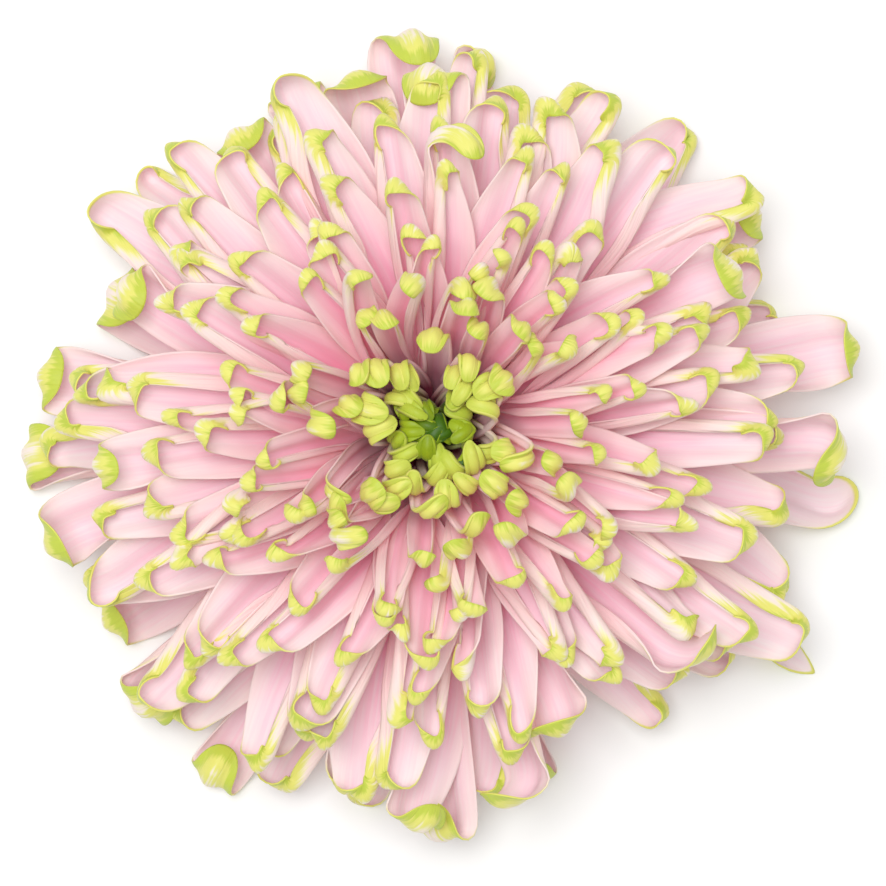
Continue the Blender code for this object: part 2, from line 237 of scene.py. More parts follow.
# The rim: each outermost floret's bearing in degrees from +X, how far it reaches in mm, and the way
# its point faces in degrees, where 0 is outward, 90 up and 180 back towards the axis
RIM = (
    (11, 56.6, 95), (24, 49.0, 170), (35, 51.9, 120), (50, 53.2, 165), (64, 50.6, 125),
    (80, 51.9, 140), (92, 52.4, 130), (112, 50.0, 140), (123, 47.5, 120), (134, 52.7, 115),
    (147, 53.2, 60), (159, 47.5, 130), (171, 53.3, 130), (185, 54.8, 150), (197, 51.7, 165),
    (208, 50.8, 110), (221, 54.5, 135), (236, 56.7, 160), (250, 52.6, 150), (258, 52.6, 115),
    (269, 55.1, 150), (287, 49.8, 120), (305, 49.5, 95), (329, 58.2, 35), (336, 51.5, 160),
    (356, 54.6, 50),
)

# The bays between them, as bearing and reach, which the florets above the rim keep back to
BAYS = (
    (18, 48.6), (41, 47.8), (58, 48.3), (71, 47.7), (101, 45.3), (118, 46.8), (140, 48.0), (164, 46.1),
    (190, 50.5), (202, 49.4), (227, 48.5), (242, 46.9), (263, 49.0), (280, 48.5), (295, 42.6), (312, 45.0),
    (345, 51.0),
)
BAY_START = math.radians(45)
BAY_END = math.radians(78)
MEAN_REACH = sum(reach for _, reach, _ in RIM) / len(RIM)

# The petals' tiers, from the rim in: each is one piece, and ends at this floret
TIERS = (
    ("rim_petals", 236),
    ("lower_petals", 190),
    ("upper_petals", 130),
    ("inner_petals", CENTRE_FLORETS),
)

# The bracts: each row's root radius and height, and its bend's radius and height, in mm
BRACT_ROWS = ((3.4, 7.0, 7.2, 7.6), (5.6, 7.4, 9.6, 9.0), (8.2, 8.6, 11.3, 10.5))
BRACTS_PER_ROW = 11
BRACT_WIDTH = 5.4 * MM
BRACT_EDGE = BRACT_WIDTH / 4
BRACT_HOOK = 1.8 * MM
BRACT_ARCH = math.radians(-8)
BRACT_HEADING = math.radians(70)
BRACT_CURL = math.radians(25)
BRACT_TIP_LENGTH = BRACT_WIDTH * 0.8
BRACT_TIP_POINT = 1.3
BRACT_GROOVES = 2.0
# How the waves of its margins and the pattern of its veins shift from row to row and from bract to bract,
# and a bract's rows of faces, those round its tip, and its columns
BRACT_WAVES = (1.0, 2.4)
BRACT_TONES = (0.2, 0.37)
BRACT_FACES = (9, 5, 8)

# The cup that carries the bracts and the receptacle in it, as (radius, height) in mm, from below
CUP_PROFILE = (
    (0.0, 6.5), (3.0, 6.5), (7.0, 7.3), (10.2, 9.2), (11.0, 11.0),
    (10.0, 12.6), (9.2, 14.4), (7.2, 16.6), (4.0, 17.8), (0.0, 17.9),
)
CUP_STEPS = 48

# The stub of the stem: its low ribs, how deep they are as a share of its radius, its blunted edges, and
# how upright a face's normal is where the face is a cut end
STEM_SIDES = 64
STEM_RINGS = 6
STEM_RIBS = 8
RIB_DEPTH = 0.035
STEM_BEVEL = 0.15 * MM
CUT_NORMAL = 0.9

# The studio: half the floor's side, the soft light's side and place, the height at which the picture's
# width is measured, and how the picture's light is read
FLOOR_REACH = 1.5
KEY_SIZE = 0.45
KEY_PLACE = (-0.12, 0.12, 0.9)
PICTURE_LEVEL = 0.012
PICTURE_GAMMA = 1.25
LIGHT_BOUNCES = 12


def linear(colour):
    """A linear red, green, blue and alpha from an sRGB hex value."""
    channels = [int(colour[i:i + 2], 16) / 255 for i in (1, 3, 5)]
    return [c / 12.92 if c <= 0.04045 else ((c + 0.055) / 1.055) ** 2.4 for c in channels] + [1.0]


def colour_property(name, description, default):
    """A colour that a user can change, with its default as an sRGB hex value."""
    return FloatVectorProperty(
        name=name, description=description, subtype="COLOR", size=4, min=0, max=1, default=linear(default)
    )


def length_property(name, description, default):
    """A length in metres that a user can change."""
    return FloatProperty(
        name=name, description=description, unit="LENGTH", min=0, precision=5, default=default
    )


class BloomSizes(bpy.types.PropertyGroup):
    """The sizes of the bloom and of its petals' fine forms."""

    bloom_radius: length_property("Bloom radius", "From the axis to the lowest petals' bends", 49.6 * MM)
    dome_height: length_property("Dome height", "From the rim's bends to the centre's", 42.5 * MM)
    receptacle_radius: length_property("Receptacle radius", "Of the disc that petals grow from", 8.5 * MM)
    petal_thickness: length_property("Petal thickness", "Of a petal's blade", 0.22 * MM)
    centre_thickness: length_property("Centre thickness", "Of a green floret of the eye", 0.5 * MM)
    groove_depth: length_property("Groove depth", "Of the long grooves in a petal's upper side", 0.6 * MM)
    margin_wave: length_property("Margin wave", "How far a petal's margin waves up and down", 0.32 * MM)
    bract_thickness: length_property("Bract thickness", "Of a green bract under the bloom", 0.4 * MM)
    rows: IntProperty(name="Rows", description="Rows of faces along a petal's blade", min=8, default=22)
    tip_rows: IntProperty(
        name="Tip rows", description="Rows of faces round each side of a petal's tip", min=4, default=9
    )
    columns: IntProperty(name="Columns", description="Columns of faces across a petal", min=6, default=18)


class BloomColours(bpy.types.PropertyGroup):
    """The colours of the bloom's living surfaces."""

    throat: colour_property("Throat", "Upper side of an inner petal, deep in its channel", "#FA9CBA")
    inner_face: colour_property("Inner face", "Upper side of an inner petal near its tip", "#F9AFCB")
    base: colour_property("Base", "Upper side of an outer petal, low down", "#F8A3C3")
    face: colour_property("Face", "Upper side of an outer petal, half way", "#F3C3D3")
    outer_face: colour_property("Outer face", "Upper side of an outer petal near its tip", "#EFDADF")
    back: colour_property("Back", "Outer side of a petal", "#F4E0D6")
    back_base: colour_property("Back base", "Outer side of a petal, low down", "#F5B4C2")
    cream: colour_property("Cream", "Where a petal's back turns yellow-green", "#F0E8B6")
    lime: colour_property("Lime", "The yellow-green of the tips", "#DDDA60")
    leaf: colour_property("Leaf", "The deeper green ridges of the tips", "#B6C63A")
    eye: colour_property("Eye", "The newest florets, in the middle", "#2E5200")
    eye_ring: colour_property("Eye ring", "The florets next to them", "#8CA410")
    # Painted shade: the dark mauve laid low down between the centre's florets, the florets' rose darkened as
    # if in shadow
    depth: colour_property("Depth", "Low down between the florets of the centre", "#942A44")
    bract: colour_property("Bract", "The bracts under the bloom", "#6F9440")
    bract_margin: colour_property("Bract margin", "A bract's thin dry margin", "#D9D2A6")
    stem: colour_property("Stem", "The stem's skin", "#86A355")
    pith: colour_property("Pith", "The stem's cut end", "#DCE3B8")


class StudioSettings(bpy.types.PropertyGroup):
    """The light, the floor and the camera."""

    camera_height: length_property("Camera height", "Of the camera above the floor", 0.55)
    view_width: length_property("View width", "What the picture spans at the rim's height", 0.116)
    view_x: FloatProperty(name="View X", description="The picture's middle", unit="LENGTH", default=0.0013)
    view_y: FloatProperty(name="View Y", description="The picture's middle", unit="LENGTH", default=-0.0017)
    key_power: FloatProperty(
        name="Key power", description="Of the large soft light", unit="POWER", default=6.5
    )
    sky: FloatProperty(name="Sky", description="Strength of the even light from all round", default=0.5)
    floor: colour_property("Floor", "The plain pale floor", "#F8F8F8")


def sizes():
    """The bloom's sizes as a user has set them."""
    return bpy.context.scene.bloom_sizes


def colours():
    """The bloom's colours as a user has set them."""
    return bpy.context.scene.bloom_colours


def between(value, start, end):
    """How far value is from start to end, from 0 to 1."""
    return min(1.0, max(0.0, (value - start) / (end - start)))


def at_lean(values, lean):
    """The value at this lean, read between the values at FORM_LEANS."""
    degrees = math.degrees(lean)
    for low, high, first, second in zip(FORM_LEANS, FORM_LEANS[1:], values, values[1:]):
        if degrees <= high:
            return first + (second - first) * between(degrees, low, high)
    return values[-1]


def floret_form(index, chance):
    """The place, sizes and bends of one floret, as its solid has them."""
    lean = LEAN_STEP * index + LEAN_GROWTH * index * index
    outward = lean / (math.pi / 2)
    reach = sizes().bloom_radius * math.sin(lean)
    dip = CENTRE_DIP * math.exp(-((lean / CENTRE_DIP_LEAN) ** 2))
    height = RIM_HEIGHT + sizes().dome_height * math.cos(lean) - dip
    parted = 0.0
    if index >= CENTRE_FLORETS:
        parted = between(lean, PARTING_END, LEAN_STEP * CENTRE_FLORETS)
    return {
        "lean": lean,
        "azimuth": index * GOLDEN_ANGLE + chance.uniform(-BEARING_STRAY, BEARING_STRAY),
        "root_r": sizes().receptacle_radius * math.sin(lean) + parted * ROOT_PARTING,
        "root_z": RECEPTACLE_HEIGHT + RECEPTACLE_RISE * math.cos(lean),
        "bend_r": reach * (1 + chance.uniform(*REACH_STRAY)) + parted * BEND_PARTING,
        "bend_z": height + chance.uniform(-HEIGHT_STRAY, HEIGHT_STRAY) * MM,
        "arch": math.radians(CENTRE_ARCH + ADDED_ARCH * outward + chance.uniform(-ARCH_STRAY, ARCH_STRAY)),
        "hook": at_lean(HOOK_LENGTHS, lean) * chance.uniform(*HOOK_STRAY),
        "end_heading": math.radians(at_lean(END_HEADINGS, lean) + chance.gauss(0, HEADING_STRAY)),
        "roll": math.radians(chance.gauss(0, 1) * (CENTRE_TWIST + ADDED_TWIST * outward)),
        "sway": math.radians(chance.gauss(0, SWAY_STRAY)),
        "width": at_lean(FLAT_WIDTHS, lean) * chance.uniform(*WIDTH_STRAY),
        "edge_curl": math.radians(chance.uniform(*EDGE_CURLS)),
        "tip_curl": math.radians(chance.uniform(*TIP_CURLS)),
        "crease": HOOK_CREASE,
        "kept_turn": 1.0,
        "tip_sway": 0.0,
    }


def spine(form, steps):
    """Frames along a floret: the share of its length, a point, and the ways along, up and across it.

    The blade is an arc that rises and droops again by the arch, and the hook turns inward past it,
    tightest where it starts. The second value is the share of the length where the hook starts.
    """
    chord_r = form["bend_r"] - form["root_r"]
    chord_z = form["bend_z"] - form["root_z"]
    climb = math.atan2(chord_z, chord_r)
    arch = form["arch"]
    blade = math.hypot(chord_r, chord_z) * arch / math.sin(arch)
    length = blade + form["hook"]
    step = length / steps
    heading = climb + arch
    hook_turn = form["kept_turn"] * (form["end_heading"] - (climb - arch))
    point = Vector((form["root_r"], 0, form["root_z"]))
    forward = Vector((math.cos(heading), 0, math.sin(heading)))
    up = Vector((-math.sin(heading), 0, math.cos(heading)))
    frames = []
    for i in range(steps + 1):
        side = up.cross(forward)
        frames.append((i / steps, point, forward, up, side))
        travelled = (i + 0.5) * step
        if travelled < blade:
            pitch = -2 * arch * step / blade
            roll = form["roll"] * step / blade
            sway = form["sway"] * step / blade
        else:
            hooked = (travelled - blade) / form["hook"]
            bend = (1 + 1 / form["crease"]) * (1 - min(1, hooked) ** form["crease"])
            pitch = bend * hook_turn * step / form["hook"]
            roll = 0.0
            sway = form["tip_sway"] * step / form["hook"]
        turn = Matrix.Rotation(-pitch, 3, side) @ Matrix.Rotation(sway, 3, up)
        turn = turn @ Matrix.Rotation(roll, 3, forward)
        point = point + forward * step
        forward = (turn @ forward).normalized()
        up = (turn @ up).normalized()
    return frames, blade / length


def spine_reach(form, last_share=1):
    """How far out from the axis a floret's middle line reaches, up to this share of its length."""
    return max(point.x for share, point, *_ in spine(form, SPINE_STEPS)[0] if share <= last_share)


def blade_growth(share):
    """How wide the blade is at this share of its way to its widest part, from its narrow claw."""
    growth = math.sin(math.pi / 2 * between(share, 0, WIDEST_SHARE)) ** CLAW_EASE
    return CLAW_SHARE + (1 - CLAW_SHARE) * growth


def solid_edge(form, share, hook_start):
    """How far the edge of a floret's solid blade lies to the side and above its middle."""
    closing = between(share, hook_start - TIP_START, 1)
    half_width = form["width"] / 2 * blade_growth(share) * (1 - closing ** TIP_EASE) ** TIP_BLUNTNESS
    tipward = between(share, hook_start - TIP_CURL_START, hook_start + TIP_CURL_END)
    curl = form["edge_curl"] + (form["tip_curl"] - form["edge_curl"]) * tipward
    slopes = [curl * ((i + 0.5) / EDGE_STEPS) ** CURL_EASE for i in range(EDGE_STEPS)]
    across = sum(math.cos(slope) for slope in slopes) * half_width / EDGE_STEPS
    rise = sum(math.sin(slope) for slope in slopes) * half_width / EDGE_STEPS
    return across, rise


def lowest(form):
    """The height of the lowest corner of a floret's solid blade."""
    frames, hook_start = spine(form, SPINE_STEPS)
    corners = []
    for share in SOLID_SECTIONS:
        share, point, _, up, side = frames[round(share * SPINE_STEPS)]
        across, rise = solid_edge(form, share, hook_start)
        edge = point + up * rise
        corners += [edge - side * across, point, edge + side * across, point - up * SOLID_THICKNESS]
    return min(corner.z for corner in corners)


def rim_reach(azimuth):
    """How far the bloom reaches at this azimuth, read between the rim's florets and bays."""
    marks = sorted([(bearing, reach) for bearing, reach, _ in RIM] + list(BAYS))
    marks = [(marks[-1][0] - 360, marks[-1][1])] + marks + [(marks[0][0] + 360, marks[0][1])]
    bearing = math.degrees(azimuth) % 360
    for (start, first), (end, second) in zip(marks, marks[1:]):
        if bearing <= end:
            return first + (second - first) * between(bearing, start, end)
    return marks[-1][1]


def floret_forms():
    """The forms of all florets from the centre out, with the oldest drooping onto the surface."""
    chance = random.Random(SEED)
    forms = [floret_form(index, chance) for index in range(FLORETS)]
    for form in forms[:-len(RIM)]:
        kept_back = rim_reach(form["azimuth"]) / MEAN_REACH - 1
        form["bend_r"] *= 1 + kept_back * between(form["lean"], BAY_START, BAY_END)
    rim_forms = sorted(forms[-len(RIM):], key=lambda form: form["azimuth"] % math.tau)
    for form, (bearing, reach, heading) in zip(rim_forms, RIM):
        form["azimuth"] = math.radians(bearing)
        form["end_heading"] = math.radians(heading)
        for _ in range(FITTING_ROUNDS):
            form["bend_r"] += reach * MM - spine_reach(form)
    for form in forms[-RESTING_FLORETS:]:
        for _ in range(FITTING_ROUNDS):
            form["bend_z"] -= lowest(form)
    return forms


def add_detail(form, index):
    """The wider blade, the rolled rim and the small bends of one floret that its solid leaves out."""
    chance = random.Random(DETAIL_SEED + index)
    lean = form["lean"]
    solid_reach = spine_reach(form)
    turned = between(form["end_heading"], *TURNED_HEADINGS)
    form["age"] = index / FLORETS
    form["tone"] = chance.random()
    form["width"] *= at_lean(FINE_WIDENING, lean)
    form["tip_length"] = at_lean(TIP_LENGTHS, lean) * chance.uniform(*TIP_LENGTH_STRAY)
    form["tip_point"] = at_lean(TIP_POINTS, lean) * chance.uniform(*TIP_POINT_STRAY)
    form["taper"] = at_lean(TAPERS, lean) * chance.uniform(*TAPER_STRAY)
    if turned < POINTED_BELOW:
        form["tip_length"] *= POINTED_LENGTH
        form["tip_point"] *= POINTED_POINT
        form["taper"] += POINTED_TAPER
    form["cup"] = math.radians(at_lean(CUPS, lean))
    edges = [(OVER_ROLLS, OVER_ZONES, OVER_FLATNESS), (UNDER_ROLLS, UNDER_ZONES, UNDER_FLATNESS)]
    chance.shuffle(edges)
    form["edge_rolls"] = []
    form["flatness"] = []
    for rolls, zones, flatness in edges:
        roll = at_lean(rolls, lean) + chance.uniform(-ROLL_STRAY, ROLL_STRAY)
        zone = at_lean(zones, lean) * MM * chance.uniform(*ZONE_STRAY)
        form["edge_rolls"].append((math.radians(roll), zone))
        form["flatness"].append(at_lean(flatness, lean))
    roll = at_lean(TIP_ROLLS, lean) * turned + chance.uniform(*TIP_ROLL_STRAY)
    zone = at_lean(TIP_ZONES, lean) * MM * chance.uniform(*TIP_ZONE_STRAY)
    form["tip_roll"] = (math.radians(roll), zone)
    longest_hook = LONGEST_HOOK * form["hook"]
    form["hook"] *= at_lean(FINE_HOOKS, lean)
    form["kept_turn"] = at_lean(FINE_TURNS, lean)
    form["crease"] = at_lean(FINE_CREASES, lean)
    form["roll"] *= at_lean(FINE_TWISTS, lean)
    if index < FLORETS - len(RIM):
        form["sway"] += math.radians(chance.gauss(0, FINE_SWAY))
    form["grooves"] = chance.uniform(*GROOVES)
    form["groove_phase"] = chance.uniform(-GROOVE_PHASE, GROOVE_PHASE)
    form["wave_phase"] = chance.uniform(0, math.tau)
    if turned > FOLDED_ABOVE and chance.random() < at_lean(FOLDED_SHARES, lean):
        form.update(FOLDED_TIP)
        form["width"] *= FOLDED_WIDTH
    if index < FLORETS - len(RIM):
        form["tip_sway"] = math.radians(chance.gauss(0, TIP_SWAY))
    if index >= CENTRE_FLORETS:
        crest = 1 - CREST_SHARE * form["tip_roll"][1] / (form["bend_r"] + form["hook"])
        for _ in range(FITTING_ROUNDS):
            fitted = form["hook"] + FITTING_STEP * (solid_reach - spine_reach(form, crest))
            form["hook"] = min(longest_hook, max(fitted, SHORTEST_HOOK * form["tip_length"]))


def bract_form(row, number):
    """The form of one bract, which is laid as a petal is."""
    root_r, root_z, bend_r, bend_z = [value * MM for value in BRACT_ROWS[row]]
    return {
        "azimuth": math.tau * (number + row / 2) / BRACTS_PER_ROW,
        "root_r": root_r,
        "root_z": root_z,
        "bend_r": bend_r,
        "bend_z": bend_z,
        "arch": BRACT_ARCH,
        "hook": BRACT_HOOK,
        "end_heading": BRACT_HEADING,
        "roll": 0.0,
        "sway": 0.0,
        "width": BRACT_WIDTH,
        "crease": HOOK_CREASE,
        "kept_turn": 1.0,
        "tip_sway": 0.0,
        "flatness": (0.0, 0.0),
        "tip_length": BRACT_TIP_LENGTH,
        "tip_point": BRACT_TIP_POINT,
        "taper": 0.0,
        "cup": BRACT_CURL,
        "edge_rolls": [(BRACT_CURL, BRACT_EDGE)] * 2,
        "tip_roll": (0.0, BRACT_EDGE),
        "grooves": BRACT_GROOVES,
        "groove_phase": 0.0,
        "wave_phase": row * BRACT_WAVES[0] + number * BRACT_WAVES[1],
        "age": 1.0,
        "tone": (row * BRACT_TONES[0] + number * BRACT_TONES[1]) % 1,
    }


def rolled_line(reach, cup, roll, zone, half):
    """Points (flat, across, rise) out to an edge: cupped, and in their outer zone rolled up and over."""
    points = [(0.0, 0.0, 0.0)]
    across = rise = 0.0
    steps = half * COLUMN_PARTS
    for i in range(steps):
        start = reach * (i / steps) ** COLUMN_EASE
        end = reach * ((i + 1) / steps) ** COLUMN_EASE
        middle = (start + end) / 2
        turned = between(middle, reach - zone, reach - zone * ROLL_END)
        slope = roll * turned + cup * (middle / reach) * (1 - turned)
        across += (end - start) * math.cos(slope)
        rise += (end - start) * math.sin(slope)
        if (i + 1) % COLUMN_PARTS == 0:
            points.append((end, across, rise))
    return points


def petal_lines(form, start, length, rows, tip_rows, half):
    """The lines across a petal from its claw to its tip, where they fan round the tip's middle.

    Each is where its line starts along the petal, the way it runs to the side and along, how far it
    is round the tip, and its points out to the left and to the right edge.
    """
    tip_start = length - form["tip_length"]
    lines = []
    for row in range(rows + tip_rows + 1):
        round_tip = math.pi / 2 * max(0, row - rows) / tip_rows
        along = start + (1 - start) * (1 - (1 - min(row, rows) / rows) ** ROW_EASE)
        middle = tip_start * along
        tapered = 1 - form["taper"] * between(middle, tip_start - TAPER_LENGTH, tip_start) ** TAPER_EASE
        half_width = form["width"] / 2 * blade_growth(middle / length) * tapered
        reach_x = half_width * math.cos(round_tip) ** form["tip_point"]
        reach_y = form["tip_length"] * math.sin(round_tip)
        reach = math.hypot(reach_x, reach_y)
        tipward = math.sin(round_tip) ** TIP_ROLL_EASE
        sides = []
        for (edge_roll, edge_zone), flatness in zip(form["edge_rolls"], form["flatness"]):
            roll = edge_roll * between(along, *ROLL_GROWTH) * (1 - flatness * between(along, *FLAT_GROWTH))
            roll = roll * (1 - tipward) + form["tip_roll"][0] * tipward
            ribbon = edge_zone * (RIBBON_START + (1 - RIBBON_START) * between(along, *RIBBON_GROWTH))
            zone = ribbon * (1 - tipward) + form["tip_roll"][1] * tipward
            sides.append(rolled_line(reach, form["cup"], roll, min(zone, WIDEST_ROLL * reach), half))
        lines.append((middle, reach_x / reach, reach_y / reach, tipward, sides))
    return lines


def lay_petal(shape, form, start, rows, tip_rows, columns):
    """Lay one petal in the mesh: a grid whose points go to their places along and across the floret."""
    along_layer, inset_layer, age_layer = [shape.verts.layers.float[name] for name in LAYERS]
    uv_layer = shape.loops.layers.uv["petal"]
    depth = sizes().groove_depth * math.sqrt(form["width"] / GROOVED_WIDTH)
    ripple = sizes().margin_wave
    floor = sizes().petal_thickness * FLOOR_GAP
    frames = spine(form, FINE_STEPS)[0]
    length = (frames[1][1] - frames[0][1]).length * FINE_STEPS
    half = columns // 2
    lines = petal_lines(form, start, length, rows, tip_rows, half)
    turn = Matrix.Rotation(form["azimuth"], 3, "Z")
    grid = bmesh.ops.create_grid(shape, x_segments=columns, y_segments=rows + tip_rows, size=1)
    places = {}
    for vertex in grid["verts"]:
        row = round((vertex.co.y + 1) / 2 * (rows + tip_rows))
        column = round((vertex.co.x + 1) / 2 * columns) - half
        middle, way_x, way_y, tipward, sides = lines[row]
        points = sides[column > 0]
        flat, across, rise = points[abs(column)]
        out = flat / points[-1][0]
        flat_x = math.copysign(flat * way_x, column)
        flat_y = middle + flat * way_y
        groove = math.cos(math.tau * form["grooves"] * flat_x / form["width"] + form["groove_phase"])
        fade = math.sin(math.pi / 2 * between(flat_y / length, *GROOVE_GROWTH)) * (1 - out * out)
        phase = form["wave_phase"] + (MARGIN_OFFSET if column < 0 else 0)
        wave = math.sin(MARGIN_WAVES * flat_y / length + phase)
        rise -= depth * groove * fade
        rise += ripple * wave * out ** 3 * (1 - tipward) * between(flat_y / length, *WAVE_GROWTH)
        place = (middle + across * way_y) / length * FINE_STEPS
        whole = min(FINE_STEPS - 1, max(0, int(place)))
        before, after, part = frames[whole], frames[whole + 1], place - whole
        point = before[1].lerp(after[1], part)
        up = before[3].lerp(after[3], part)
        side = before[4].lerp(after[4], part)
        vertex.co = turn @ (point - side * math.copysign(across * way_x, column) + up * rise)
        vertex.co.z = max(vertex.co.z, floor)
        vertex[along_layer] = flat_y / length
        vertex[inset_layer] = (points[-1][0] - flat) / MM
        vertex[age_layer] = form["age"]
        # Each petal reads its own part of the veins' pattern
        places[vertex] = (flat_x / MM + VEIN_SHIFT * form["tone"], flat_y / MM)
    for face in {face for vertex in grid["verts"] for face in vertex.link_faces}:
        face.smooth = True
        for loop in face.loops:
            loop[uv_layer].uv = places[loop.vert]
    bmesh.ops.remove_doubles(shape, verts=grid["verts"], dist=MERGE_DISTANCE)
    kept = [vertex for vertex in grid["verts"] if vertex.is_valid]
    for _ in range(SMOOTHINGS):
        bmesh.ops.smooth_vert(
            shape, verts=kept, factor=SMOOTHING, use_axis_x=True, use_axis_y=True, use_axis_z=True
        )


def new_sheet():
    """An empty mesh with the layers that a petal's or a bract's points carry."""
    shape = bmesh.new()
    for name in LAYERS:
        shape.verts.layers.float.new(name)
    shape.loops.layers.uv.new("petal")
    return shape


def fine_petals(forms, first, last):
    """A mesh of the florets from the first up to the last, each with its fine detail."""
    shape = new_sheet()
    for index in range(first, last):
        add_detail(forms[index], index)
        lay_petal(shape, forms[index], PETAL_START, sizes().rows, sizes().tip_rows, sizes().columns)
    return shape


def place_piece(shape, name, materials, replaced, thickness=0.0):
    """Turn a mesh into a piece of the bloom that stands for a solid, with a wall if it is a sheet."""
    mesh = bpy.data.meshes.new(name)
    shape.to_mesh(mesh)
    shape.free()
    for material in materials:
        mesh.materials.append(material)
    piece = bpy.data.objects.new(name, mesh)
    bpy.context.scene.collection.objects.link(piece)
    if thickness:
        wall = piece.modifiers.new("wall", "SOLIDIFY")
        wall.thickness = thickness
        wall.offset = -1
        wall.material_offset = 1
    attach(piece, "root")
    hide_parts(replaced)


def add(tree, kind, inputs=None, output=None, **settings):
    """Add a shader node with its settings, set or link its inputs, and return one output.

    That is the output of this name, or else the first that the node's settings leave in use.
    """
    node = tree.nodes.new("ShaderNode" + kind)
    for name, value in settings.items():
        setattr(node, name, value)
    for name, value in (inputs or {}).items():
        if isinstance(value, bpy.types.NodeSocket):
            tree.links.new(value, node.inputs[name])
        else:
            node.inputs[name].default_value = value
    return node.outputs[output] if output else next(socket for socket in node.outputs if socket.enabled)


def maths(tree, operation, *values):
    """The result of one operation on these values."""
    return add(tree, "Math", dict(enumerate(values)), operation=operation)


def graded(tree, value, start, end, low=0.0, high=1.0, smooth=False):
    """How far a value is from start to end, given from low to high."""
    inputs = {"Value": value, "From Min": start, "From Max": end, "To Min": low, "To Max": high}
    return add(tree, "MapRange", inputs, interpolation_type="SMOOTHSTEP" if smooth else "LINEAR")


def mixed(tree, share, first, second):
    """The colour at this share of the way from the first to the second."""
    return add(tree, "Mix", {"Factor": share, "A": first, "B": second}, data_type="RGBA")


def ramped(tree, value, *stops):
    """The colour of a value on a ramp, whose stops are positions and colours in order."""
    colour = add(tree, "ValToRGB", {"Fac": value})
    elements = colour.node.color_ramp.elements
    for element, (position, tint) in zip(elements, (stops[0], stops[-1])):
        element.position = position
        element.color = tint
    for position, tint in stops[1:-1]:
        elements.new(position).color = tint
    return colour


def start_material(name, **sockets):
    """A new material and its node tree, with these sockets of its Principled shader set."""
    material = bpy.data.materials.new(name)
    material.use_nodes = True
    tree = material.node_tree
    for socket, value in sockets.items():
        tree.nodes["Principled BSDF"].inputs[socket.replace("_", " ")].default_value = value
    return material, tree


def cover(tree, colour, pattern=None, strength=0.0, depth=0.0):
    """Give a material's shader its colour, and the relief of a pattern, as deep as this in metres."""
    shader = tree.nodes["Principled BSDF"]
    tree.links.new(colour, shader.inputs["Base Color"])
    if pattern is not None:
        bump = add(tree, "Bump", {"Height": pattern, "Strength": strength, "Distance": depth})
        tree.links.new(bump, shader.inputs["Normal"])


def petal_marks(tree):
    """What a petal's colour reads: the share along it, the inset from its rim in mm, its age, its veins."""
    along, inset, age = [add(tree, "Attribute", output="Fac", attribute_name=layer) for layer in LAYERS]
    uv = add(tree, "UVMap", uv_map="petal")
    # Veins about 0.5 mm apart that run some 12 mm along the petal
    stretched = add(tree, "Mapping", {"Vector": uv, "Scale": (2.0, 0.085, 1.0)})
    veins = add(
        tree, "TexNoise", {"Vector": stretched, "Scale": 1.0, "Detail": 2.0, "Roughness": 0.6},
        noise_dimensions="2D",
    )
    offset = maths(tree, "ADD", veins, -0.5)
    return along, inset, age, veins, offset


def with_painted_shade(tree, along, age, colour):
    """A petal's colour with painted shade laid over the lower parts of the youngest florets: a dark mauve,
    the florets' own rose darkened to stand for the shadow between the centre's florets.
    """
    low = graded(tree, along, 0.7, 0.4)
    young = graded(tree, age, 0.26, 0.16)
    painted_shade_share = maths(tree, "MULTIPLY", low, young)
    return mixed(tree, painted_shade_share, colour, colours().depth)


def petal_face_material():
    """The upper side of a chrysanthemum petal: fresh and satin, so its gloss is low, with fine veins.

    Rose deep in the channel, and paler near the tip and at the rim.
    """
    material, tree = start_material(
        "petal_face", Roughness=0.55, IOR=1.42, Specular_IOR_Level=0.22,
        Sheen_Weight=0.03, Sheen_Roughness=0.45,
    )
    c = colours()
    along, inset, age, veins, offset = petal_marks(tree)
    # A vein pushes the colour towards the base or the tip
    shifted = maths(tree, "MULTIPLY_ADD", offset, 0.45, along)
    inner = ramped(tree, shifted, (0.4, c.throat), (0.85, c.inner_face), (1.0, c.face))
    outer = ramped(tree, shifted, (0.3, c.base), (0.6, c.face), (0.95, c.outer_face))
    grown = graded(tree, age, 0.22, 0.62, smooth=True)
    pink = mixed(tree, grown, inner, outer)
    # Paler over the last 3 mm to the rim
    rimward = graded(tree, inset, 3.0, 0.0, high=0.6)
    paled = mixed(tree, rimward, pink, c.back)
    # Yellow-green only close to the rim, towards the tip
    margin = graded(tree, inset, 1.2, 0.0)
    tipward = maths(tree, "MULTIPLY_ADD", margin, 0.2, along)
    limed = graded(tree, tipward, 0.98, 1.1, smooth=True)
    tipped = mixed(tree, limed, paled, c.lime)
    # The eye's florets are green on this side too
    greened = graded(tree, age, 0.13, 0.05)
    final = mixed(tree, greened, tipped, c.eye_ring)
    # Painted shade over the lower parts of the youngest florets, for the shadow between the centre's florets
    cover(tree, with_painted_shade(tree, along, age, final), veins, 0.35, 0.00012)
    return material


